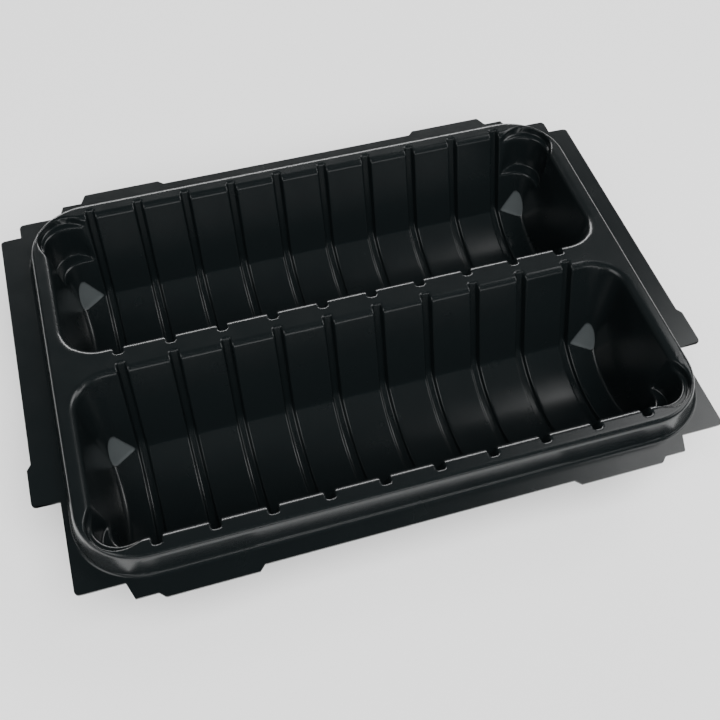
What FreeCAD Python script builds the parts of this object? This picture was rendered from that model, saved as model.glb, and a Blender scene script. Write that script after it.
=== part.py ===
"""Two-trough insert tray, vacuum-formed in one piece from a plastic sheet.

The sheet lies over a mould form: a raised rim stands on a flat flange, two long
troughs sink through the rim, each with ten divider slots across it, and the flange
is die-cut to a stepped outline. The solid is the space between the form's surface
and the same surface set back by the sheet's thickness.
Millimetres, +Z up, +X along the troughs, +Y to the back. Heights are first counted
down from the rim's top, and the finished tray is then set on its slots' undersides.
"""
import FreeCAD
import Part

import math
import os

V = FreeCAD.Vector

# Sheet
SHEET = 1.0                 # wall thickness all over

# Troughs: the two long compartments
TROUGH_LENGTH = 306.8       # at the level of the rim's top
TROUGH_WIDTH = 97.3
TROUGH_DEPTH = 62.2         # down to the lowest line of the floor
TROUGH_CORNER = 17.6        # corner radius at the rim, shrinking evenly to nothing
CORNER_END = 68.0           # depth at which the corners are sharp
LONG_DRAFT = 17.8           # degrees off upright, long walls
END_DRAFT = 10.0            # degrees off upright, end walls
FLOOR_SPREAD = 4.35         # by how much the floor's radius passes half the width
FLOOR_RADIUS = TROUGH_WIDTH / 2 + FLOOR_SPREAD      # a barrel vault upside down
MOUTH_EDGE = 4.0            # rounding from the rim's top into a trough
MOUTH_BEVEL = 2.1           # bevel on the underside below that rounding

# Facets: slanting flats that cut off a trough's four bottom corners
FACET_DEPTH = 31.0          # depth at which a facet starts on the corner line
FACET_ALONG = 13.5          # how far it reaches along the long wall's foot
FACET_ACROSS = 6.0          # how far it reaches along the end wall's foot

# Rim: the raised frame round both troughs, its top as wide as these lands
DIVIDER_LAND = 16.4         # between the two troughs
END_LAND = 8.6              # from the end walls out to the rim's outer wall
LONG_LAND = 10.2            # from the long walls out to the rim's outer wall
TROUGH_PITCH = TROUGH_WIDTH + DIVIDER_LAND
RIM_LENGTH = TROUGH_LENGTH + 2 * END_LAND
RIM_WIDTH = TROUGH_PITCH + TROUGH_WIDTH + 2 * LONG_LAND
RIM_CORNER = 32.0           # outer corner radius at the top
RIM_HEIGHT = 14.0           # from the flange up to the rim's top
RIM_DRAFT = 12.0            # degrees off upright
RIM_BEVEL = 1.6             # bevel along the outer top edge

# Divider slots across each trough
SLOT_COUNT = 10
SLOT_MARGIN = 27.4          # from the end walls to the middle of the first slot
SLOT_PITCH = (TROUGH_LENGTH - 2 * SLOT_MARGIN) / (SLOT_COUNT - 1)
SLOT_WIDTH = 5.0
SLOT_WALL_DEPTH = 5.0       # into the long walls
SLOT_FLOOR_DEPTH = 3.5      # into the floor

# Stacking recesses in the tray's four outer corners
UPPER_LEDGE_DEPTH = 5.0
UPPER_RECESS_RADIUS = 15.0
UPPER_FROM_END = 11.4       # recess axis, in from the end wall
UPPER_FROM_SIDE = 12.2      # and in from the long wall
LOWER_LEDGE_DEPTH = 27.0
LOWER_RECESS_RADIUS = 12.8
LOWER_FROM_END = 12.6
LOWER_FROM_SIDE = 15.2
RECESS_DRAFT = 4.0          # degrees off upright

# Flange outline, the same on the left and the right, measured out from the rim's top
END_REACH = 18.0            # the ends' main edges
NOTCH_REACH = 6.3           # the ends' edges in the corner notches
EAR_REACH = 2.2             # how far the two ears stand out past the main edges
EAR_START = -68.0           # the ears' front and back ends, from the rim's middle
EAR_END = -46.0
FRONT_REACH = 12.7          # middle of the front edge
FRONT_CORNER_REACH = 3.6    # front edge at the corners
BACK_REACH = 19.2           # middle of the back edge
BACK_STEP_REACH = 15.8      # back edge between tab and corner
BACK_CORNER_REACH = 7.5     # back edge at the corners
BACK_NOTCH_LENGTH = 10.0    # the back corners' notches, along the ends
CORNER_STEP = 20.4          # where the front and back edges step in to the corners
TAB_MARGIN = 14.0           # from there to the end of a tab
TAB_LENGTH = 47.8           # the two tabs on the front and on the back edge
STEP = 3.0                  # how far the tabs stand out, and the slant of every step
FLANGE_END = RIM_LENGTH / 2 + END_REACH
NOTCH_X = RIM_LENGTH / 2 + NOTCH_REACH
FRONT_EDGE = -RIM_WIDTH / 2 - FRONT_REACH
FRONT_CORNER = -RIM_WIDTH / 2 - FRONT_CORNER_REACH
BACK_EDGE = RIM_WIDTH / 2 + BACK_REACH
BACK_STEP = RIM_WIDTH / 2 + BACK_STEP_REACH
BACK_CORNER = RIM_WIDTH / 2 + BACK_CORNER_REACH
BACK_NOTCH = BACK_CORNER - BACK_NOTCH_LENGTH
STEP_X = RIM_LENGTH / 2 - CORNER_STEP
TAB_END = STEP_X - TAB_MARGIN
TAB_START = TAB_END - TAB_LENGTH

CLEAR = 6.0                 # how far a cutting body runs past the material


def tan(degrees):
    return math.tan(math.radians(degrees))


def sin(degrees):
    return math.sin(math.radians(degrees))


def cos(degrees):
    return math.cos(math.radians(degrees))


def polygon(points):
    """Flat face with the given corners."""
    return Part.Face(Part.makePolygon(points + points[:1]))


def rounded_rectangle(half_x, half_y, radius, z):
    """Closed wire of four lines and four quarter arcs, at height z."""
    edges = []
    lean = radius * (1.0 - math.sqrt(0.5))
    corners = [(1, 1), (-1, 1), (-1, -1), (1, -1)]
    for i, (sx, sy) in enumerate(corners):
        along_y = V(sx * half_x, sy * (half_y - radius), z)
        along_x = V(sx * (half_x - radius), sy * half_y, z)
        middle = V(sx * (half_x - lean), sy * (half_y - lean), z)
        start, end = (along_y, along_x) if sx * sy > 0 else (along_x, along_y)
        edges.append(Part.Arc(start, middle, end).toShape())
        next_x, next_y = corners[(i + 1) % 4]
        if next_y == sy:
            target = V(next_x * (half_x - radius), next_y * half_y, z)
        else:
            target = V(next_x * half_x, next_y * (half_y - radius), z)
        edges.append(Part.makeLine(end, target))
    return Part.Wire(edges)


def tapered_block(low, high):
    """Solid between two rounded rectangles, each (half_x, half_y, radius, z).

    The sides are planes, and the corners are cones, because the two rectangles'
    corner arcs share upright axes.
    """
    wires = [rounded_rectangle(*low), rounded_rectangle(*high)]
    faces = [Part.Face(wire) for wire in wires]
    for low_edge, high_edge in zip(wires[0].Edges, wires[1].Edges):
        start, end = (low_edge.firstVertex(True).Point, low_edge.lastVertex(True).Point)
        high_start, high_end = (high_edge.firstVertex(True).Point,
                                high_edge.lastVertex(True).Point)
        if low_edge.Curve.TypeId == "Part::GeomLine":
            faces.append(polygon([start, end, high_end, high_start]))
        else:
            centre = low_edge.Curve.Center
            faces.append(Part.makeLine(start, high_start).revolve(centre, V(0, 0, 1), 90))
    return Part.Solid(Part.Shell(faces))


def prism_across(face, x_from, x_to):
    """Solid with a section in the Y-Z plane, from x_from to x_to."""
    face.translate(V(x_from, 0, 0))
    return face.extrude(V(x_to - x_from, 0, 0))


def long_wall(z):
    """Half the width between a trough's long walls at height z."""
    return TROUGH_WIDTH / 2 + z * tan(LONG_DRAFT)


def end_wall(z):
    """Half the length between a trough's end walls at height z."""
    return TROUGH_LENGTH / 2 + z * tan(END_DRAFT)


def wall_meets_floor(half, radius):
    """Point where a long wall, half wide at height 0, meets a floor arc of the radius."""
    slope = tan(LONG_DRAFT)
    axis_z = FLOOR_RADIUS - TROUGH_DEPTH
    # y = half + slope * z in y^2 + (z - axis_z)^2 = radius^2
    a = 1 + slope ** 2
    b = slope * half - axis_z
    c = half ** 2 + axis_z ** 2 - radius ** 2
    z = (-b - math.sqrt(b ** 2 - a * c)) / a
    return V(0, half + slope * z, z)


def section(wall_offset, floor_offset, top):
    """Face across a trough: leaning walls, barrel floor, and a lid at height top.

    Walls and floor lie wall_offset and floor_offset outside the trough's own.
    """
    half = long_wall(0) + wall_offset / cos(LONG_DRAFT)
    radius = FLOOR_RADIUS + floor_offset
    foot = wall_meets_floor(half, radius)
    lid = V(0, half + top * tan(LONG_DRAFT), top)
    left_foot, left_lid = V(0, -foot.y, foot.z), V(0, -lid.y, lid.z)
    lowest = V(0, 0, FLOOR_RADIUS - TROUGH_DEPTH - radius)
    return Part.Face(Part.Wire([
        Part.makeLine(left_lid, lid), Part.makeLine(lid, foot),
        Part.Arc(foot, lowest, left_foot).toShape(), Part.makeLine(left_foot, left_lid)]))


def corner_cone(set_back):
    """Apex and axis of the cone that rounds the corner at +X +Y between two walls.

    A ball rolls down the corner, touching both walls, and its radius shrinks evenly
    from TROUGH_CORNER at the rim to nothing at CORNER_END. The set-back walls keep
    the ball's path and add set_back to its radius.
    """
    top = V(end_wall(0) - TROUGH_CORNER / cos(END_DRAFT),
            long_wall(0) - TROUGH_CORNER / cos(LONG_DRAFT), 0)
    sharp = V(end_wall(-CORNER_END), long_wall(-CORNER_END), -CORNER_END)
    return sharp - (top - sharp) * (set_back / TROUGH_CORNER), (top - sharp).normalize()


def touch_line(axis, normal):
    """Unit vector along the line where a cone round the axis touches a wall."""
    return (axis - normal * axis.dot(normal)).normalize()


def mirrored(point, side_x, side_y):
    """The point or direction as it lies in another corner of the trough."""
    return V(side_x * point.x, side_y * point.y, point.z)


def corner_faces(apex, axis, start, end):
    """The cone from one wall's touching line to the other's, and the cap of its arc."""
    spokes = [p - apex - axis * (p - apex).dot(axis) for p in (start, end)]
    turn = math.degrees(spokes[0].getAngle(spokes[1]))
    if spokes[0].cross(spokes[1]).dot(axis) < 0:
        turn = -turn
    cone = Part.makeLine(apex, start).revolve(apex, axis, turn)
    arc = [e for e in cone.Edges if not e.Degenerated and e.Curve.TypeId == "Part::GeomCircle"]
    return [cone, Part.Face(Part.Wire(arc + [Part.makeLine(end, start)]))]


def trough_block(set_back):
    """Space between a trough's four leaning walls, its corners rounded by cones.

    The corner at +X +Y is worked out and mirrored. The lid has a level middle and a
    slanting piece at each end, because the touching lines end at two heights.
    """
    apex, axis = corner_cone(set_back)
    reach = 1.3 * (CORNER_END + set_back)
    on_end = apex + touch_line(axis, V(cos(END_DRAFT), 0, -sin(END_DRAFT))) * reach
    on_long = apex + touch_line(axis, V(0, cos(LONG_DRAFT), -sin(LONG_DRAFT))) * reach
    sides = [(1, 1), (-1, 1), (-1, -1), (1, -1)]
    faces = [polygon([mirrored(p, *side) for side in sides]) for p in (apex, on_long)]
    for side in sides:
        faces += corner_faces(*[mirrored(p, *side) for p in (apex, axis, on_end, on_long)])
    for side_x in (1, -1):
        faces.append(polygon([mirrored(apex, side_x, 1), mirrored(on_end, side_x, 1),
                              mirrored(on_end, side_x, -1), mirrored(apex, side_x, -1)]))
        faces.append(polygon([mirrored(on_end, side_x, 1), mirrored(on_long, side_x, 1),
                              mirrored(on_long, side_x, -1), mirrored(on_end, side_x, -1)]))
    for side_y in (1, -1):
        faces.append(polygon([mirrored(apex, 1, side_y), mirrored(on_long, 1, side_y),
                              mirrored(on_long, -1, side_y), mirrored(apex, -1, side_y)]))
    return Part.Solid(Part.Shell(faces))


def trough_body(set_back):
    """The trough's own space without facets, slots or recesses."""
    across = section(CLEAR, set_back, 2 * CLEAR)
    return trough_block(set_back).common(prism_across(across, -TROUGH_LENGTH, TROUGH_LENGTH))


def facet_cutter(set_back, side_x, side_y):
    """Block beyond the slanting plane that cuts off one bottom corner of a trough.

    The plane goes through a point on the line where the walls would meet, one on the
    long wall's foot and one on the end wall's foot.
    """
    foot = wall_meets_floor(long_wall(0), FLOOR_RADIUS)
    across_y = foot.y - FACET_ACROSS
    across_z = FLOOR_RADIUS - TROUGH_DEPTH - math.sqrt(FLOOR_RADIUS ** 2 - across_y ** 2)
    high = V(end_wall(-FACET_DEPTH), long_wall(-FACET_DEPTH), -FACET_DEPTH)
    along = V(end_wall(foot.z) - FACET_ALONG, foot.y, foot.z)
    across = V(end_wall(across_z), across_y, across_z)
    outward = (across - high).cross(along - high).normalize()
    middle = (high + along + across) / 3 + outward * set_back
    face = Part.makePlane(TROUGH_DEPTH, TROUGH_DEPTH, V(0, 0, 0), mirrored(outward, side_x, side_y))
    face.translate(mirrored(middle, side_x, side_y) - face.CenterOfMass)
    return face.extrude(mirrored(outward, side_x, side_y) * TROUGH_DEPTH)


def slot(set_back, x):
    """One divider slot: a slab across the trough, following its walls and floor."""
    half = SLOT_WIDTH / 2 + set_back
    across = section(SLOT_WALL_DEPTH + set_back, SLOT_FLOOR_DEPTH + set_back, CLEAR)
    return prism_across(across, x - half, x + half)


def slot_places():
    return [(i - (SLOT_COUNT - 1) / 2) * SLOT_PITCH for i in range(SLOT_COUNT)]


def plain_trough(set_back):
    """A trough's space without slots and recesses."""
    body = trough_body(set_back)
    for side_x in (-1, 1):
        for side_y in (-1, 1):
            body = body.cut(facet_cutter(set_back, side_x, side_y))
    return body


def rim_block(set_back):
    """The raised rim as a solid standing on the flange, its top edge bevelled."""
    base = -RIM_HEIGHT - set_back
    bottom = base - TROUGH_DEPTH - 2 * CLEAR
    sizes = []
    for z in (base - CLEAR, -set_back):
        grow = -z * tan(RIM_DRAFT) - set_back / cos(RIM_DRAFT)
        sizes.append((RIM_LENGTH / 2 + grow, RIM_WIDTH / 2 + grow, RIM_CORNER + grow, z))
    ground_x = RIM_LENGTH / 2 + 4 * CLEAR + set_back
    ground_y = RIM_WIDTH / 2 + 4 * CLEAR + set_back
    ground = Part.makeBox(2 * ground_x, 2 * ground_y, base - bottom + set_back,
                          V(-ground_x, -ground_y, bottom - set_back))
    block = ground.fuse(tapered_block(*sizes)).removeSplitter()
    top = [e for e in block.Edges if e.BoundBox.ZMin > -set_back - 0.01]
    return block.makeChamfer(RIM_BEVEL - set_back / 2, top)


def mouth_edges(block, set_back):
    """Edges where the troughs open through the rim's top."""
    reach_x = TROUGH_LENGTH / 2 + set_back + 1
    reach_y = (TROUGH_PITCH + TROUGH_WIDTH) / 2 + set_back + 1
    return [e for e in block.Edges if e.BoundBox.ZMin > -set_back - 0.01
            and max(e.BoundBox.XMax, -e.BoundBox.XMin) < reach_x
            and max(e.BoundBox.YMax, -e.BoundBox.YMin) < reach_y]


def mould_form(set_back):
    """The form's solid below its surface, the surface set back by set_back."""
    block = rim_block(set_back)
    body = plain_trough(set_back)
    for side_y in (-1, 1):
        trough = body.copy()
        trough.translate(V(0, side_y * TROUGH_PITCH / 2, 0))
        block = block.cut(trough)
    if set_back:
        block = block.makeChamfer(MOUTH_BEVEL, mouth_edges(block, set_back))
    else:
        block = block.makeFillet(MOUTH_EDGE, mouth_edges(block, set_back))
    tools = []
    for side_x in (-1, 1):
        for side_y in (-1, 1):
            tools += corner_recesses(set_back, side_x, side_y)
    for x in slot_places():
        for side_y in (-1, 1):
            cutter = slot(set_back, x)
            cutter.translate(V(0, side_y * TROUGH_PITCH / 2, 0))
            tools.append(cutter)
    return block.cut(tools)


def corner_recesses(set_back, side_x, side_y):
    """Upper and lower stacking recess of one outer corner, each with its ledge."""
    end = TROUGH_LENGTH / 2
    wall = (TROUGH_PITCH + TROUGH_WIDTH) / 2
    upper = recess(set_back, side_x * (end - UPPER_FROM_END), side_y * (wall - UPPER_FROM_SIDE),
                   UPPER_RECESS_RADIUS, UPPER_LEDGE_DEPTH, 0)
    lower = recess(set_back, side_x * (end - LOWER_FROM_END), side_y * (wall - LOWER_FROM_SIDE),
                   LOWER_RECESS_RADIUS, LOWER_LEDGE_DEPTH, UPPER_LEDGE_DEPTH)
    return [upper, lower]


def recess(set_back, x, y, radius, ledge, top):
    """Drafted round recess with a flat ledge at the depth ledge, up to the depth top."""
    bottom_z = -ledge - set_back
    top_z = -top - set_back if top else CLEAR
    height = top_z - bottom_z
    low = radius + set_back / cos(RECESS_DRAFT)
    return Part.makeCone(low, low + height * tan(RECESS_DRAFT), height, V(x, y, bottom_z))


def flange_outline(z):
    """The die-cut outline: corner notches, two ears near the front, and edge tabs."""
    ear = FLANGE_END + EAR_REACH
    half = [(TAB_START, FRONT_EDGE), (TAB_START + STEP, FRONT_EDGE - STEP),
            (TAB_END, FRONT_EDGE - STEP), (TAB_END + STEP, FRONT_EDGE),
            (STEP_X, FRONT_EDGE), (STEP_X + STEP, FRONT_CORNER),
            (NOTCH_X, FRONT_CORNER), (NOTCH_X, EAR_START), (ear, EAR_START), (ear, EAR_END),
            (FLANGE_END, EAR_END + STEP), (FLANGE_END, BACK_NOTCH), (NOTCH_X, BACK_NOTCH),
            (NOTCH_X, BACK_CORNER), (STEP_X + STEP, BACK_CORNER), (STEP_X, BACK_STEP),
            (TAB_END + STEP, BACK_STEP), (TAB_END, BACK_EDGE + STEP),
            (TAB_START + STEP, BACK_EDGE + STEP), (TAB_START, BACK_EDGE)]
    other = [(-x, y) for x, y in reversed(half)]
    return polygon([V(x, y, z) for x, y in half + other])


def tray():
    """The formed sheet, trimmed to the flange's outline and set on its underside."""
    sheet = mould_form(0).cut(mould_form(SHEET))
    depth = TROUGH_DEPTH + SLOT_FLOOR_DEPTH + SHEET
    trim = flange_outline(-depth - 1).extrude(V(0, 0, depth + 2))
    sheet = sheet.common(trim)
    sheet.translate(V(0, -(FRONT_EDGE + BACK_EDGE) / 2, depth))
    return sheet.Solids[0]


def main():
    os.makedirs("parts", exist_ok=True)
    tray().exportStep("parts/tray.step")


if __name__ == "__main__":
    main()
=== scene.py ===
"""Two-trough insert tray of black vacuum-formed polystyrene, laid out as a Blender add-on.

The sheet's upper face is where a solid form's surface lies. The form is written as one
function of x, y and z that is positive inside the material: a raised rim on a flat
flange, less two troughs, their corner facets, the stacking recesses and the divider
slots, every edge rounded. The upper face is found on a grid of rows and columns, and
the underside is the same face set back along its normals by the sheet's thickness, on
about half of the rows.
Metres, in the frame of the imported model. The form's own heights are counted from the
rim's top, downwards negative, and its middle is the rim's middle.
"""
import math

import bpy
import numpy as np
from mathutils import Matrix, Vector


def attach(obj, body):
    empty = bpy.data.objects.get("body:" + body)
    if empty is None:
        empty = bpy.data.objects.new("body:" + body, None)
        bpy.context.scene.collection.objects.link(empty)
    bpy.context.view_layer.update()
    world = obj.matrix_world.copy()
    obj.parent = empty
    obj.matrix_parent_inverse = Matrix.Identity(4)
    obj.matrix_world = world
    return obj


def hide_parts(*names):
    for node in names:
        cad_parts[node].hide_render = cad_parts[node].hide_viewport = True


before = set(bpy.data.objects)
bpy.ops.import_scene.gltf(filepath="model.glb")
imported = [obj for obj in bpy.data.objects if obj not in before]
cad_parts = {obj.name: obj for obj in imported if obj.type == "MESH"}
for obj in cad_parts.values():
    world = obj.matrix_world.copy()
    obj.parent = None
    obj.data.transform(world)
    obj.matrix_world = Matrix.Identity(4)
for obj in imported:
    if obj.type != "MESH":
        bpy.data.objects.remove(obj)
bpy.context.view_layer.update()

bl_info = {
    "name": "Formed insert tray",
    "version": (1, 0, 0),
    "blender": (4, 5, 0),
    "location": "View3D > Sidebar > Tray",
    "description": "A two-trough insert tray, its plastic and a plain studio stage",
    "category": "Add Mesh",
}


def length(name, default, description):
    return bpy.props.FloatProperty(name=name, description=description, default=default,
                                   unit="LENGTH", subtype="DISTANCE")


def angle(name, degrees, description):
    return bpy.props.FloatProperty(name=name, description=description,
                                   default=math.radians(degrees), subtype="ANGLE")


def colour(name, hex_code, description):
    return bpy.props.StringProperty(name=name, description=description, default=hex_code)


class TrayForm(bpy.types.PropertyGroup):
    sheet: length("Sheet", 0.001, "Wall thickness all over")
    drop: length("Rest height", 0.0667, "From what the tray stands on up to the rim's top")
    forward: length("Forward shift", -0.00325, "From the model's middle to the rim's middle")
    rim_length: length("Rim length", 0.324, "Across the top, between the outer walls")
    rim_width: length("Rim width", 0.2314, "Across the top, between the outer walls")
    rim_corner: length("Rim corner", 0.032, "Outer corner radius at the top")
    rim_height: length("Rim height", 0.014, "From the flange up to the rim's top")
    rim_draft: angle("Rim draft", 12.0, "Lean of the rim's outer wall off upright")
    rim_edge: length("Rim edge", 0.0026, "Rounding along the outer top edge")
    rim_foot: length("Rim foot", 0.002, "Rounding from the rim's wall into the flange")
    trough_length: length("Trough length", 0.3068, "At the level of the rim's top")
    trough_width: length("Trough width", 0.0973, "At the level of the rim's top")
    trough_pitch: length("Trough pitch", 0.1137, "From one trough's middle to the other's")
    trough_depth: length("Trough depth", 0.0622, "Down to the lowest line of the floor")
    trough_corner: length("Trough corner", 0.0176, "Corner radius at the rim's top")
    corner_end: length("Corner end", 0.068, "Depth at which the corners would be sharp")
    long_draft: angle("Long wall draft", 17.8, "Lean of the long walls off upright")
    end_draft: angle("End wall draft", 10.0, "Lean of the end walls off upright")
    floor_radius: length("Floor radius", 0.053, "The floor is a barrel vault upside down")
    mouth_edge: length("Mouth edge", 0.004, "Rounding from the rim's top into a trough")
    trough_foot: length("Trough foot", 0.0025, "Rounding from the walls into the floor")
    facet_depth: length("Facet depth", 0.031, "Where a facet starts on the corner line")
    facet_along: length("Facet along", 0.0135, "Its reach along the long wall's foot")
    facet_across: length("Facet across", 0.006, "Its reach along the end wall's foot")
    facet_edge: length("Facet edge", 0.0009, "Softness of the facets' edges")
    slot_pitch: length("Slot pitch", 0.028, "From one divider slot to the next")
    slot_width: length("Slot width", 0.005, "Between a slot's side walls")
    slot_wall_depth: length("Slot in wall", 0.005, "Depth into the long walls")
    slot_floor_depth: length("Slot in floor", 0.0035, "Depth into the floor")
    slot_draft: angle("Slot draft", 2.4, "Lean of a slot's side walls")
    slot_bottom: length("Slot bottom", 0.0012, "Rounding inside along a slot's bottom")
    slot_mouth: length("Slot mouth", 0.0011, "Rounding of a slot's outer edges")
    slot_foot: length("Slot foot", 0.0047, "Rounding from a slot's wall into its floor")
    upper_depth: length("Upper ledge", 0.005, "Depth of the upper stacking ledge")
    upper_radius: length("Upper recess", 0.015, "Radius at the ledge")
    upper_end: length("Upper from end", 0.0114, "Recess axis, in from the end wall")
    upper_side: length("Upper from side", 0.0122, "Recess axis, in from the long wall")
    lower_depth: length("Lower ledge", 0.027, "Depth of the lower stacking ledge")
    lower_radius: length("Lower recess", 0.0128, "Radius at the ledge")
    lower_end: length("Lower from end", 0.0126, "Recess axis, in from the end wall")
    lower_side: length("Lower from side", 0.0152, "Recess axis, in from the long wall")
    recess_draft: angle("Recess draft", 4.0, "Lean of the recesses' walls")
    recess_edge: length("Recess edge", 0.0013, "Rounding of the recesses' outer edges")
    recess_foot: length("Recess foot", 0.001, "Rounding from a recess wall into its ledge")


class FlangeOutline(bpy.types.PropertyGroup):
    end: length("End", 0.18, "The ends' main edges, from the rim's middle")
    notch: length("Notch", 0.1683, "The ends' edges in the corner notches")
    ear: length("Ear", 0.1822, "The ends' edges at the two ears")
    ear_start: length("Ear start", -0.068, "Front end of the ears")
    ear_end: length("Ear end", -0.046, "Back end of the ears")
    back_notch: length("Back notch", 0.1132, "Where the back corners' notches start")
    front: length("Front edge", -0.1284, "Middle of the front edge")
    back: length("Back edge", 0.1349, "Middle of the back edge")
    back_step: length("Back step", 0.1315, "Back edge between tab and corner")
    front_corner: length("Front corner", -0.1193, "Front edge at the corners")
    back_corner: length("Back corner", 0.1232, "Back edge at the corners")
    tab_start: length("Tab start", 0.0798, "Inner end of the two tabs of an edge")
    tab_end: length("Tab end", 0.1276, "Outer end of the two tabs of an edge")
    step: length("Step", 0.003, "How far the tabs stand out, and the slant of a step")
    step_x: length("Corner step", 0.1416, "Where the edges step in to the corners")
    corner: length("Cut corner", 0.0026, "Rounding of the outline's square corners")


class TrayLooks(bpy.types.PropertyGroup):
    plastic: colour("Plastic", "0E1213", "Black polystyrene, seen straight on")
    # painted sheen: a lighter grey painted on the corner facets in place of the light that they
    # reflect
    painted_facet_sheen: colour("Plastic, matt", "3A3E3F", "The matt facets, seen straight on")
    roughness: bpy.props.FloatProperty(
        name="Roughness", description="Gloss left by the mould's grain", default=0.26)
    floor: colour("Floor", "F4F4F4", "Plain pale floor")


# ---------------------------------------------------------------- the form's function


def meet(a, b, r):
    """Inside both a and b, the corner between them rounded.

    a and b are distances, positive inside. It is the smaller of the two, except that
    closer than r to both it is r less the distance to the point that lies r inside each.
    """
    return (np.maximum(r, np.minimum(a, b))
            - np.hypot(np.maximum(r - a, 0.0), np.maximum(r - b, 0.0)))


def join(a, b, r):
    """Inside a or b, the inner corner between them filled to the radius r."""
    return -meet(-a, -b, r)


def leaning(radius, turn):
    """The r for which meet() gives this radius between faces that turn by the angle."""
    return radius * math.tan(turn / 2) * math.sin(turn)


def rim_and_flange(form, x, y, z):
    """The raised rim, its leaning wall a rounded rectangle that widens downwards."""
    grow = -z * math.tan(form.rim_draft)
    wall = meet(form.rim_length / 2 + grow - np.abs(x), form.rim_width / 2 + grow - np.abs(y),
                form.rim_corner + grow) * math.cos(form.rim_draft)
    turn = math.pi / 2 - form.rim_draft
    rim = meet(-z, wall, leaning(form.rim_edge, turn))
    return join(rim, -z - form.rim_height, leaning(form.rim_foot, turn))


def facet_plane(form):
    """Unit normal and distance of the plane that cuts off a trough's bottom corner.

    The plane goes through a point on the line where the walls would meet, one on the
    long wall's foot and one on the end wall's foot.
    """
    lean, end_lean = math.tan(form.long_draft), math.tan(form.end_draft)
    half, axis = form.trough_width / 2, form.floor_radius - form.trough_depth

    def end_x(z):
        return form.trough_length / 2 + z * end_lean

    a, b = 1 + lean ** 2, lean * half - axis
    foot_z = (-b - math.sqrt(b * b - a * (half ** 2 + axis ** 2 - form.floor_radius ** 2))) / a
    foot_y = half + lean * foot_z
    across_y = foot_y - form.facet_across
    across_z = axis - math.sqrt(form.floor_radius ** 2 - across_y ** 2)
    high = Vector((end_x(-form.facet_depth), half - lean * form.facet_depth, -form.facet_depth))
    along = Vector((end_x(foot_z) - form.facet_along, foot_y, foot_z))
    across = Vector((end_x(across_z), across_y, across_z))
    normal = (across - high).cross(along - high).normalized()
    return normal, normal.dot(high)


def recess(form, x, y, z, centre, radius, depth):
    """Space of a drafted round recess with a flat ledge at this depth."""
    wall = (radius + (z + depth) * math.tan(form.recess_draft)
            - np.hypot(np.abs(x) - centre[0], np.abs(y) - centre[1]))
    return meet(wall * math.cos(form.recess_draft), z + depth, form.recess_foot)


def trough_walls(form, x, y, z):
    """Distances in from the end wall, the long wall, the floor and the nearest facet."""
    side = np.abs(y) - form.trough_pitch / 2
    end = (form.trough_length / 2 + z * math.tan(form.end_draft) - np.abs(x)) \
        * math.cos(form.end_draft)
    long = (form.trough_width / 2 + z * math.tan(form.long_draft) - np.abs(side)) \
        * math.cos(form.long_draft)
    above_axis = np.minimum(z + form.trough_depth - form.floor_radius, 0.0)
    floor = form.floor_radius - np.hypot(side, above_axis)
    normal, reach = facet_plane(form)
    facet = reach - normal.x * np.abs(x) - normal.y * np.abs(side) - normal.z * z
    return end, long, floor, facet


def material(form, x, y, z):
    """Positive inside the form's material, negative above it, zero on the surface."""
    end, long, floor, facet = trough_walls(form, x, y, z)
    # 0 beside a long wall, 1 beside an end wall
    at_end = np.clip((long - end) / 0.004 + 0.5, 0.0, 1.0)

    rise = form.trough_corner * (math.sin(form.end_draft) + math.sin(form.long_draft)) / 2
    ball = form.trough_corner * (z + form.corner_end) / (form.corner_end - rise)
    hollow = meet(end, long, np.maximum(ball, 0.0005))
    foot = leaning(form.trough_foot, math.radians(35.0))
    end_foot = leaning(form.trough_foot, math.pi / 2 - form.end_draft)
    hollow = meet(hollow, floor, foot + (end_foot - foot) * at_end)
    hollow = meet(hollow, facet, form.facet_edge)

    edge = leaning(form.mouth_edge, math.pi / 2 - form.long_draft)
    end_edge = leaning(form.mouth_edge, math.pi / 2 - form.end_draft)
    body = meet(rim_and_flange(form, x, y, z), -hollow, edge + (end_edge - edge) * at_end)

    end_x = form.trough_length / 2
    side_y = (form.trough_pitch + form.trough_width) / 2
    for centre, radius, depth in (
            ((end_x - form.upper_end, side_y - form.upper_side), form.upper_radius,
             form.upper_depth),
            ((end_x - form.lower_end, side_y - form.lower_side), form.lower_radius,
             form.lower_depth)):
        body = meet(body, -recess(form, x, y, z, centre, radius, depth), form.recess_edge)

    number = np.clip(np.round(x / form.slot_pitch - 0.5), -5, 4) + 0.5
    across = meet(long + form.slot_wall_depth, floor + form.slot_floor_depth,
                  leaning(form.slot_foot, math.radians(35.0)))
    between = form.slot_width / 2 + np.minimum(hollow, 0.0) * math.tan(form.slot_draft) \
        - np.abs(x - number * form.slot_pitch)
    return meet(body, -meet(across, between, form.slot_bottom), form.slot_mouth)


def height(form, x, y):
    """Height of the surface over each point, by halving the range that holds it."""
    low, high = np.full(x.shape, -0.08), np.full(x.shape, 0.001)
    for _ in range(34):
        middle = (low + high) / 2
        inside = material(form, x, y, middle) > 0
        low, high = np.where(inside, middle, low), np.where(inside, high, middle)
    return (low + high) / 2


def upward_normal(form, x, y, z):
    """Unit normal out of the material: against the function's steepest rise."""
    h = 2e-6
    rise = np.stack([material(form, x + h, y, z) - material(form, x - h, y, z),
                     material(form, x, y + h, z) - material(form, x, y - h, z),
                     material(form, x, y, z + h) - material(form, x, y, z - h)], axis=-1)
    return -rise / np.linalg.norm(rise, axis=-1, keepdims=True)


# ---------------------------------------------------------------- rows and columns

# columns from the last slot to the rim's foot, the same number at both ends
END_COLUMNS = 52
# the outer columns cross the flat flange, close together at its cut edge
FLANGE_SHARES = np.array([0.3, 0.6, 0.84, 0.93, 0.97, 1.0])
# the outer rows do so in front and behind, close together at the rim's foot instead
EDGE_SHARES = np.array([0.06, 0.12, 0.18, 0.25, 0.36, 0.6, 1.0])


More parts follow.
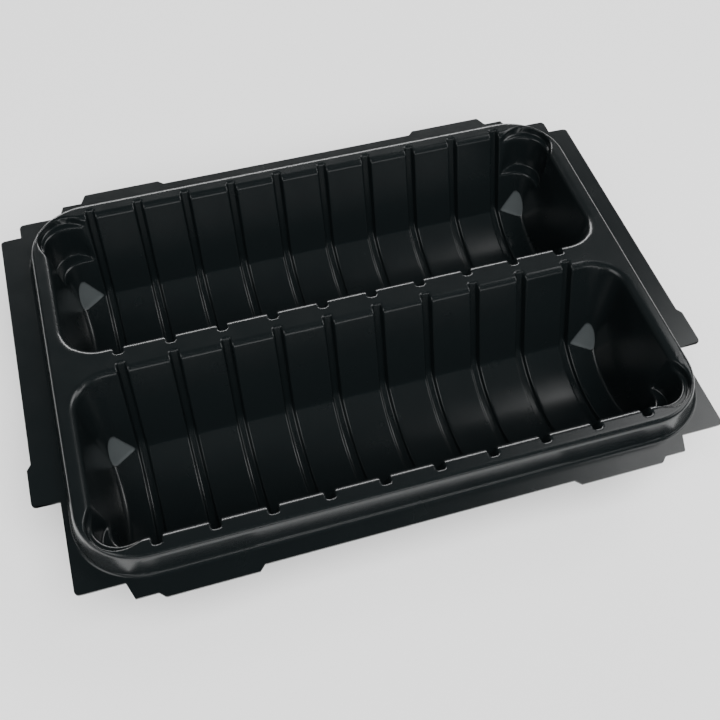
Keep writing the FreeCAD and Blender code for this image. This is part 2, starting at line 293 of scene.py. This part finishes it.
def spread(places, spacing):
    """Positions from the first place to the last, the spacing as given at each place."""
    fine = np.linspace(places[0], places[-1], 4000)
    density = 1.0 / np.interp(fine, places, spacing)
    total = np.concatenate([[0.0], np.cumsum((density[1:] + density[:-1]) / 2
                                             * np.diff(fine))])
    return np.interp(np.linspace(0.0, total[-1], int(round(total[-1])) + 1), total, fine)


def trough_rows(form, recessed):
    """Rows' distances from a trough's middle, as far as half the troughs' pitch.

    They lie close where the section bends: at the floor's foot, 31 to 34 mm out, and
    from the long wall's top at 48 mm on. On the side with the stacking recesses more
    rows run along their steep walls. The tables are in millimetres.
    """
    places = np.array([0, 18, 22, 30.5, 31.2, 33.2, 34, 38, 46, 46.3, 47.9, 48.2, 54.6,
                       form.trough_pitch * 500])
    spacing = np.array(
        [4, 3, 1.7, 1.0, 0.5, 0.5, 0.7, 0.65, 0.6, 0.3, 0.3, 0.45, 0.5, 0.9] if recessed
        else [4, 3, 1.7, 1.2, 0.5, 0.5, 0.85, 0.9, 1.6, 1.0, 0.6, 0.5, 0.5, 0.9])
    return spread(places / 1000, spacing / 1000)


def row_places(form, outline):
    """Places of the straight rows, from low on the rim's front wall to its back wall.

    Both sides of the middle line are alike, except that the rows nearest to a step in
    the outline's ends are moved on to it and on to the rounding of its corner.
    """
    inner, outer = trough_rows(form, False), trough_rows(form, True)
    middle = form.trough_pitch / 2
    last = form.rim_width / 2 + 0.0018
    rim = spread(np.array([middle + outer[-1], last - 0.006, last - 0.004, last]),
                 np.array([0.0009, 0.0006, 0.0005, 0.0006]))
    half = np.concatenate([middle - inner[::-1], middle + outer[1:-1], rim])
    rows = np.concatenate([-half[::-1], half[1:]])
    corner = outline.corner * np.array([0.4, 1.0])
    wanted = np.concatenate([
        outline.ear_start + np.array([-1e-4, 1e-4]), outline.ear_start + corner,
        outline.back_notch + np.array([-1e-4, 1e-4]), outline.back_notch - corner,
        [outline.ear_end, outline.ear_end + outline.step]])
    free = np.ones(len(rows), dtype=bool)
    for place in wanted:
        nearest = np.argmin(np.where(free, np.abs(rows - place), 1.0))
        rows[nearest], free[nearest] = place, False
    return np.sort(rows)


def front_and_back_edge(outline, x):
    """Where the front and the back edge of the flange lie at x."""
    places = [0, outline.tab_start, outline.tab_start + outline.step, outline.tab_end,
              outline.tab_end + outline.step, outline.step_x, outline.step_x + outline.step,
              outline.notch]
    front = np.interp(np.abs(x), places, outline.front - outline.step * np.array(
        [0, 0, 1, 1, 0, 0, 0, 0])
        + (outline.front_corner - outline.front) * np.array([0, 0, 0, 0, 0, 0, 1, 1]))
    back = np.interp(np.abs(x), places, [
        outline.back, outline.back, outline.back + outline.step, outline.back + outline.step,
        outline.back_step, outline.back_step, outline.back_corner, outline.back_corner])
    return front, back


def end_edge(outline, y):
    """Where the ends of the flange lie at y."""
    places = [-1, outline.ear_start - 5e-5, outline.ear_start + 5e-5, outline.ear_end,
              outline.ear_end + outline.step, outline.back_notch - 5e-5,
              outline.back_notch + 5e-5, 1]
    return np.interp(y, places, [outline.notch, outline.notch, outline.ear, outline.ear,
                                 outline.end, outline.end, outline.notch, outline.notch])


def rounded_corner(x, y, corner_x, corner_y, way, radius):
    """The grid with the square of this size in an outline corner drawn in to an arc.

    A point keeps its direction from the arc's centre, and its distance becomes the
    larger of its two offsets. Both ends of the tray are drawn in alike.
    """
    out_x = np.abs(x) - corner_x + radius
    out_y = (y - corner_y) * way + radius
    square = (out_x > 0) & (out_y > 0) & (out_x < 1.01 * radius) & (out_y < 1.01 * radius)
    scale = np.where(square, np.maximum(out_x, out_y) / np.maximum(
        np.hypot(out_x, out_y), 1e-9), 1.0)
    return (np.where(square, np.sign(x) * (corner_x - radius + out_x * scale), x),
            np.where(square, corner_y + way * (out_y * scale - radius), y))


def slot_columns(form, outline):
    """Columns of the ten slots, the same in every row: the round bottom, the side
    walls and the mouth's rounding of each, and the steps of the tabs between them."""
    half = form.slot_width / 2
    steps = np.array([0.0011, 0.0019, half - 0.00023, half - 0.00002, half + 0.0003,
                      half + form.slot_mouth])
    one = np.concatenate([-steps[::-1], steps])
    slots = ((np.arange(10) - 4.5) * form.slot_pitch)[:, None] + one[None, :]
    tabs = np.array([outline.tab_start, outline.tab_start + outline.step])
    return np.sort(np.concatenate([slots.ravel(), tabs, -tabs]))


def end_columns(form, outline, rows, start, count):
    """Columns from start to the end of the flange, one line of positions for each row.

    Up to the rim's foot they are spaced evenly by the length of the surface along the
    row plus 6 mm for every radian that its normal turns, and then averaged over seven
    rows, the nearer ones weighing more. The rest cross the flat flange.
    """
    centre_x = form.rim_length / 2 - form.rim_corner
    centre_y = form.rim_width / 2 - form.rim_corner
    radius = form.rim_corner + form.rim_height * math.tan(form.rim_draft) + 0.002
    past = np.clip(np.abs(rows) - centre_y, 0.0, radius)
    split = np.maximum(centre_x + np.sqrt(radius ** 2 - past ** 2),
                       outline.step_x + outline.step)
    share = np.linspace(0.0, 1.0, 500)
    x = start + (split - start)[:, None] * share[None, :]
    y = np.broadcast_to(rows[:, None], x.shape)
    z = height(form, x, y)
    normal = upward_normal(form, x, y, z)
    turn = np.arccos(np.clip(np.sum(normal[:, 1:] * normal[:, :-1], axis=-1), -1.0, 1.0))
    way = np.hypot(np.diff(x, axis=1), np.diff(z, axis=1)) + 0.006 * turn + 2e-6
    total = np.concatenate([np.zeros((len(rows), 1)), np.cumsum(way, axis=1)], axis=1)
    total /= total[:, -1:]
    even = np.linspace(0.0, 1.0, count)
    inner = np.stack([np.interp(even, t, line) for t, line in zip(total, x)])
    weights = np.array([1.0, 2.0, 3.0, 4.0, 3.0, 2.0, 1.0]) / 16.0
    shares = (inner - start) / (split - start)[:, None]
    padded = np.pad(shares, ((3, 3), (0, 0)), mode="edge")
    shares = sum(w * padded[i:i + len(rows)] for i, w in enumerate(weights))
    inner = start + (split - start)[:, None] * shares
    outer = split[:, None] + (end_edge(outline, rows) - split)[:, None] * FLANGE_SHARES
    return np.concatenate([inner, outer], axis=1)


def plan_grid(form, outline):
    """x and y of every grid point, rows from front to back and columns to the right."""
    rows, shares = row_places(form, outline), EDGE_SHARES
    middle = slot_columns(form, outline)
    end = end_columns(form, outline, rows, middle[-1], END_COLUMNS)[:, 1:]
    x = np.concatenate([-end[:, ::-1], np.broadcast_to(middle, (len(rows), len(middle))), end],
                       axis=1)
    y = np.broadcast_to(rows[:, None], x.shape)

    split = outline.step_x + outline.step
    edge = np.concatenate([np.linspace(middle[-1], split, END_COLUMNS)[1:],
                           split + (outline.notch - split) * FLANGE_SHARES])
    edge_x = np.concatenate([-edge[::-1], middle, edge])
    front, back = front_and_back_edge(outline, edge_x)
    front_rows = rows[0] + (front - rows[0])[None, :] * shares[::-1, None]
    back_rows = rows[-1] + (back - rows[-1])[None, :] * shares[:, None]
    # the outer rows' columns slide from the last straight row's places to the edge's
    front_x = x[0] + (edge_x - x[0])[None, :] * np.minimum(1, 3 * shares[::-1, None])
    back_x = x[-1] + (edge_x - x[-1])[None, :] * np.minimum(1, 3 * shares[:, None])
    x = np.concatenate([front_x, x, back_x])
    y = np.concatenate([front_rows, y, back_rows])
    for corner_x, corner_y, way in (
            (outline.notch, outline.front_corner, -1), (outline.notch, outline.back_corner, 1),
            (outline.ear, outline.ear_start, -1), (outline.end, outline.back_notch, 1)):
        x, y = rounded_corner(x, y, corner_x, corner_y, way, outline.corner)
    return x, y


# ---------------------------------------------------------------- the sheet as a mesh


def border(rows, columns):
    """Grid numbers once round the outside, anticlockwise seen from above."""
    number = np.arange(rows * columns).reshape(rows, columns)
    return np.concatenate([number[0, :-1], number[:-1, -1], number[-1, :0:-1],
                           number[:0:-1, 0]])


def thinned_rows(outline, heights):
    """Numbers of the rows that the underside keeps: every second one, and all of them
    near the front and back edges and near the steps of the outline's ends."""
    number = np.arange(len(heights))
    near = np.zeros(len(heights), dtype=bool)
    for step in (outline.ear_start, outline.ear_end, outline.back_notch):
        near |= np.abs(heights - step) < 0.004
    return number[(number % 2 == 0) | near | (number < 10) | (number >= len(heights) - 10)]


def underside_faces(number, kept):
    """Faces between the kept rows, wound as seen from above: four-cornered, then five.

    The two ends of a row that is left out stay as fifth corners of the outermost faces,
    so that the underside meets every point of the sheet's edge.
    """
    near, far = number[kept[:-1]], number[kept[1:]]
    cells = np.stack([near[:, :-1], near[:, 1:], far[:, 1:], far[:, :-1]], axis=-1)
    skips = kept[1:] - kept[:-1] == 2
    whole = np.ones(cells.shape[:2], dtype=bool)
    whole[skips, 0] = whole[skips, -1] = False
    between = number[kept[:-1][skips] + 1]
    left = np.concatenate([cells[skips, 0], between[:, :1]], axis=1)
    right = np.concatenate([cells[skips, -1][:, :2], between[:, -1:],
                            cells[skips, -1][:, 2:]], axis=1)
    return cells[whole], np.concatenate([left, right])


def sheet_mesh(name, form, outline):
    """The upper face, the underside one thickness below it, and the die-cut edge.

    Every face corner has the normal of the form's function, or on the edge strip the
    one that points straight out of the outline.
    """
    x, y = plan_grid(form, outline)
    z = height(form, x, y)
    normal = upward_normal(form, x, y, z)
    upper = np.stack([x, y, z], axis=-1)
    points = np.concatenate([upper.reshape(-1, 3),
                             (upper - normal * form.sheet).reshape(-1, 3)])
    points += np.array([0.0, form.forward, form.drop])

    rows, columns = x.shape
    below = rows * columns
    number = np.arange(below).reshape(rows, columns)
    top = np.stack([number[:-1, :-1], number[:-1, 1:], number[1:, 1:], number[1:, :-1]],
                   axis=-1).reshape(-1, 4)
    fours, fives = underside_faces(number, thinned_rows(outline, y[:, columns // 2]))
    fours, fives = fours[:, ::-1], fives[:, ::-1]
    ring = border(rows, columns)
    after = np.roll(ring, -1)
    edge = np.stack([ring, ring + below, after + below, after], axis=-1)
    quads = np.concatenate([top, fours + below, edge])
    loops = np.concatenate([quads.ravel(), fives.ravel() + below])
    corners = np.concatenate([np.full(len(quads), 4), np.full(len(fives), 5)])

    upward = normal.reshape(-1, 3)
    outward = np.cross(points[after] - points[ring], [0.0, 0.0, 1.0])
    outward /= np.linalg.norm(outward, axis=1, keepdims=True)
    normals = np.concatenate([upward[top.ravel()], -upward[fours.ravel()],
                              np.repeat(outward, 4, axis=0), -upward[fives.ravel()]])

    used, loops = np.unique(loops, return_inverse=True)
    mesh = bpy.data.meshes.new(name)
    mesh.vertices.add(len(used))
    mesh.vertices.foreach_set("co", points[used].ravel().astype(np.float32))
    mesh.loops.add(len(loops))
    mesh.loops.foreach_set("vertex_index", loops.ravel().astype(np.int32))
    mesh.polygons.add(len(corners))
    mesh.polygons.foreach_set("loop_start",
                              (np.cumsum(corners) - corners).astype(np.int32))
    mesh.polygons.foreach_set("loop_total", corners.astype(np.int32))
    mesh.update(calc_edges=True)
    mesh.validate()
    if len(mesh.polygons) != len(corners):
        raise RuntimeError("the sheet's grid has faces that Blender refuses")
    mesh.normals_split_custom_set(normals.astype(np.float32))
    return mesh


# ---------------------------------------------------------------- materials


def linear(hex_code):
    """A six-digit sRGB colour code as linear red, green, blue and full alpha."""
    parts = [int(hex_code[i:i + 2], 16) / 255 for i in (0, 2, 4)]
    return tuple(p / 12.92 if p <= 0.04045 else ((p + 0.055) / 1.055) ** 2.4
                 for p in parts) + (1.0,)


def add(tree, kind, inputs=None, **settings):
    """A node of this kind with its settings, its inputs set by name."""
    node = tree.nodes.new(kind)
    for key, value in settings.items():
        setattr(node, key, value)
    for key, value in (inputs or {}).items():
        node.inputs[key].default_value = value
    return node


def facet_mask(tree, position, form):
    """Output that is 1 on the troughs' corner facets and 0 on the rest of the sheet.

    It is 1 where the surface lies within 0.4 mm of a facet's plane, below the facet's
    top and past the last slot. One plane stands for all eight facets: absolute values
    fold the tray's quarters on to each other, and once the troughs' middle is moved to
    y = 0 they fold a trough's two sides.
    """
    link = tree.links.new
    normal, reach = facet_plane(form)
    centred = add(tree, "ShaderNodeMapping",
                  {"Location": (0.0, -form.forward, -form.drop)}, vector_type="POINT")
    quarter = add(tree, "ShaderNodeVectorMath", operation="ABSOLUTE")
    from_trough = add(tree, "ShaderNodeVectorMath", {1: (0.0, form.trough_pitch / 2, 0.0)},
                      operation="SUBTRACT")
    side = add(tree, "ShaderNodeVectorMath", operation="ABSOLUTE")
    # z is negative on the form, and folded here to its depth
    along = add(tree, "ShaderNodeVectorMath", {1: (normal.x, normal.y, -normal.z)},
                operation="DOT_PRODUCT")
    past_plane = add(tree, "ShaderNodeMath", {1: reach}, operation="SUBTRACT")
    distance = add(tree, "ShaderNodeMath", operation="ABSOLUTE")
    mask = add(tree, "ShaderNodeMapRange", {"From Min": 0.0003, "From Max": 0.0005,
                                            "To Min": 1.0, "To Max": 0.0})
    link(position, centred.inputs["Vector"])
    for before, after in ((centred, quarter), (quarter, from_trough), (from_trough, side),
                          (side, along)):
        link(before.outputs["Vector"], after.inputs[0])
    link(along.outputs["Value"], past_plane.inputs[0])
    link(past_plane.outputs["Value"], distance.inputs[0])
    link(distance.outputs["Value"], mask.inputs["Value"])

    axes = add(tree, "ShaderNodeSeparateXYZ")
    link(quarter.outputs["Vector"], axes.inputs["Vector"])
    last_slot = 4.5 * form.slot_pitch + form.slot_width / 2 + form.slot_mouth
    for axis, least in (("X", last_slot), ("Z", form.facet_depth)):
        far_enough = add(tree, "ShaderNodeMath", {1: least}, operation="GREATER_THAN")
        both = add(tree, "ShaderNodeMath", operation="MULTIPLY")
        link(axes.outputs[axis], far_enough.inputs[0])
        link(mask.outputs[0], both.inputs[0])
        link(far_enough.outputs["Value"], both.inputs[1])
        mask = both
    return mask.outputs[0]


def black_polystyrene(looks, form):
    """Vacuum-formed high-impact polystyrene, black all through.

    Vacuum forming copies the mould's fine grain softly on to the side that lies on it
    and leaves the free side glossy, with a faint orange peel some millimetres wide. The
    eye sees clear but slightly blurred reflections that waver a little on flat parts.
    """
    shader = bpy.data.materials.new("black_polystyrene")
    shader.use_nodes = True
    tree = shader.node_tree
    tree.nodes.clear()
    link = tree.links.new
    out = add(tree, "ShaderNodeOutputMaterial")
    body = add(tree, "ShaderNodeBsdfPrincipled", {"IOR": 1.59, "Specular IOR Level": 0.5})
    place = add(tree, "ShaderNodeTexCoord")

    # the corner facets: a matt grain, and a lighter grey painted into their colour as a painted
    # sheen standing in for the light that they reflect
    facets = facet_mask(tree, place.outputs["Object"], form)
    # the black plastic, with the painted sheen mixed in on the facets
    plastic_and_sheen = add(tree, "ShaderNodeMix", data_type="RGBA")
    for socket, code in ((6, looks.plastic), (7, looks.painted_facet_sheen)):
        plastic_and_sheen.inputs[socket].default_value = linear(code)
    link(facets, plastic_and_sheen.inputs[0])
    link(plastic_and_sheen.outputs[2], body.inputs["Base Color"])

    # roughness: patches 17 mm wide between the mould's grain and the free gloss
    grain = add(tree, "ShaderNodeTexNoise", {"Scale": 60.0, "Detail": 2.0, "Roughness": 0.5})
    gloss = add(tree, "ShaderNodeMapRange", {"From Min": 0.3, "From Max": 0.7,
                                             "To Min": looks.roughness - 0.015,
                                             "To Max": looks.roughness + 0.015})
    rough = add(tree, "ShaderNodeMix", {"B": 0.42}, data_type="FLOAT")
    link(place.outputs["Object"], grain.inputs["Vector"])
    link(grain.outputs["Fac"], gloss.inputs["Value"])
    link(facets, rough.inputs[0])
    link(gloss.outputs["Result"], rough.inputs[2])
    link(rough.outputs[0], body.inputs["Roughness"])

    # orange peel: swells about 5 mm wide and a few microns high, then the fine grain
    swell = add(tree, "ShaderNodeTexNoise", {"Scale": 190.0, "Detail": 2.0, "Roughness": 0.4})
    fine = add(tree, "ShaderNodeTexNoise", {"Scale": 2600.0, "Detail": 2.0, "Roughness": 0.5})
    peel = add(tree, "ShaderNodeBump", {"Strength": 0.3, "Distance": 0.00002})
    skin = add(tree, "ShaderNodeBump", {"Strength": 0.15, "Distance": 0.000002})
    for noise, bump in ((swell, peel), (fine, skin)):
        link(place.outputs["Object"], noise.inputs["Vector"])
        link(noise.outputs["Fac"], bump.inputs["Height"])
    link(peel.outputs["Normal"], skin.inputs["Normal"])
    link(skin.outputs["Normal"], body.inputs["Normal"])
    link(body.outputs["BSDF"], out.inputs["Surface"])
    return shader


def matt_floor(looks):
    """Plain matt paper, pale all over, with a faint tooth."""
    shader = bpy.data.materials.new("pale_paper")
    shader.use_nodes = True
    tree = shader.node_tree
    body = tree.nodes["Principled BSDF"]
    body.inputs["Base Color"].default_value = linear(looks.floor)
    body.inputs["Roughness"].default_value = 0.9
    body.inputs["Specular IOR Level"].default_value = 0.1
    tooth = add(tree, "ShaderNodeTexNoise", {"Scale": 900.0, "Detail": 3.0})
    bump = add(tree, "ShaderNodeBump", {"Strength": 0.1, "Distance": 0.0001})
    place = add(tree, "ShaderNodeTexCoord")
    tree.links.new(place.outputs["Object"], tooth.inputs["Vector"])
    tree.links.new(tooth.outputs["Fac"], bump.inputs["Height"])
    tree.links.new(bump.outputs["Normal"], body.inputs["Normal"])
    return shader


# ---------------------------------------------------------------- operators


class TRAY_OT_sheet(bpy.types.Operator):
    """Form the tray's sheet and give it its plastic"""
    bl_idname = "tray.sheet"
    bl_label = "Formed sheet"

    def execute(self, context):
        scene = context.scene
        mesh = sheet_mesh("formed_sheet", scene.tray_form, scene.tray_outline)
        piece = bpy.data.objects.new("formed_sheet", mesh)
        scene.collection.objects.link(piece)
        mesh.materials.append(black_polystyrene(scene.tray_looks, scene.tray_form))
        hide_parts("tray")
        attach(piece, "root")
        return {"FINISHED"}


class TRAY_OT_stage(bpy.types.Operator):
    """Set the pale floor, the soft lights and the camera"""
    bl_idname = "tray.stage"
    bl_label = "Stage"

    def execute(self, context):
        scene = context.scene
        self.floor(scene)
        self.lights(scene)
        self.camera(scene)
        return {"FINISHED"}

    def floor(self, scene):
        far = 12.0
        mesh = bpy.data.meshes.new("floor")
        mesh.from_pydata([(-far, -far, 0), (far, -far, 0), (far, far, 0), (-far, far, 0)],
                         [], [(0, 1, 2, 3)])
        floor = bpy.data.objects.new("floor", mesh)
        mesh.materials.append(matt_floor(scene.tray_looks))
        scene.collection.objects.link(floor)

    def lights(self, scene):
        world = bpy.data.worlds.new("studio")
        world.use_nodes = True
        tree = world.node_tree
        # a pale room: bright low down all round, dim overhead
        sky = add(tree, "ShaderNodeTexCoord")
        axes = add(tree, "ShaderNodeSeparateXYZ")
        fade = add(tree, "ShaderNodeMapRange", {"From Min": 0.1, "From Max": 0.6,
                                                "To Min": 0.7, "To Max": 0.07})
        tree.links.new(sky.outputs["Generated"], axes.inputs["Vector"])
        tree.links.new(axes.outputs["Z"], fade.inputs["Value"])
        tree.links.new(fade.outputs["Result"], tree.nodes["Background"].inputs["Strength"])
        scene.world = world
        for name, place, size, power in (
                ("back_strip", (0.15, 2.1, 0.85), (2.6, 0.4), 44.0),
                ("front_box", (-0.2, -2.2, 0.9), (2.4, 0.45), 8.0),
                ("top_box", (1.08, 0.31, 1.34), (0.75, 0.75), 6.5),
                ("left_box", (-1.6, -0.6, 1.4), (1.2, 1.2), 10.0),
                ("right_box", (1.8, -0.6, 1.2), (1.0, 1.0), 9.0),
                ("fill", (0.0, -1.5, 2.3), (2.6, 2.6), 180.0)):
            data = bpy.data.lights.new(name, "AREA")
            data.shape, data.energy = "RECTANGLE", power
            data.size, data.size_y = size
            light = bpy.data.objects.new(name, data)
            light.location = place
            light.rotation_euler = (Vector((0, 0, 0.05)) - Vector(place)).to_track_quat(
                "-Z", "Y").to_euler()
            # the fill lights the floor and the plastic's colour but shows in no gloss
            light.visible_glossy = name != "fill"
            scene.collection.objects.link(light)

    def camera(self, scene):
        """The camera looks along its axis at the aim from this direction and distance."""
        azimuth, elevation, roll = (math.radians(v) for v in (-18.1665, 54.2783, 1.6061))
        distance, sideways, upwards = 0.56004, 0.0055, -0.02977
        back = Vector((math.sin(azimuth) * math.cos(elevation),
                       -math.cos(azimuth) * math.cos(elevation), math.sin(elevation)))
        right = (-back).cross(Vector((0, 0, 1))).normalized()
        up = right.cross(-back)
        across = math.cos(roll) * right + math.sin(roll) * up
        over = -math.sin(roll) * right + math.cos(roll) * up
        form = scene.tray_form
        place = (Vector((0, form.forward, form.drop)) + across * sideways + over * upwards
                 + back * distance)
        data = bpy.data.cameras.new("camera")
        data.sensor_width, data.lens = 36.0, 51.254
        data.clip_start, data.clip_end = 0.01, 50.0
        camera = bpy.data.objects.new("camera", data)
        turn = Matrix((across, over, back)).transposed()
        camera.matrix_world = Matrix.Translation(place) @ turn.to_4x4()
        scene.collection.objects.link(camera)
        scene.camera = camera


class TRAY_PT_panel(bpy.types.Panel):
    """The tray's operators and sizes"""
    bl_idname = "TRAY_PT_panel"
    bl_label = "Formed insert tray"
    bl_space_type = "VIEW_3D"
    bl_region_type = "UI"
    bl_category = "Tray"

    def draw(self, context):
        layout = self.layout
        layout.operator(TRAY_OT_sheet.bl_idname)
        layout.operator(TRAY_OT_stage.bl_idname)
        for group in (context.scene.tray_form, context.scene.tray_outline,
                      context.scene.tray_looks):
            column = layout.column(align=True)
            for name in group.__annotations__:
                column.prop(group, name)


CLASSES = (TrayForm, FlangeOutline, TrayLooks, TRAY_OT_sheet, TRAY_OT_stage, TRAY_PT_panel)
GROUPS = {"tray_form": TrayForm, "tray_outline": FlangeOutline, "tray_looks": TrayLooks}


def register():
    for cls in CLASSES:
        bpy.utils.register_class(cls)
    for name, cls in GROUPS.items():
        setattr(bpy.types.Scene, name, bpy.props.PointerProperty(type=cls))


def unregister():
    for name in GROUPS:
        delattr(bpy.types.Scene, name)
    for cls in reversed(CLASSES):
        bpy.utils.unregister_class(cls)


def main():
    register()
    bpy.ops.tray.sheet()
    bpy.ops.tray.stage()


if __name__ == "__main__":
    main()
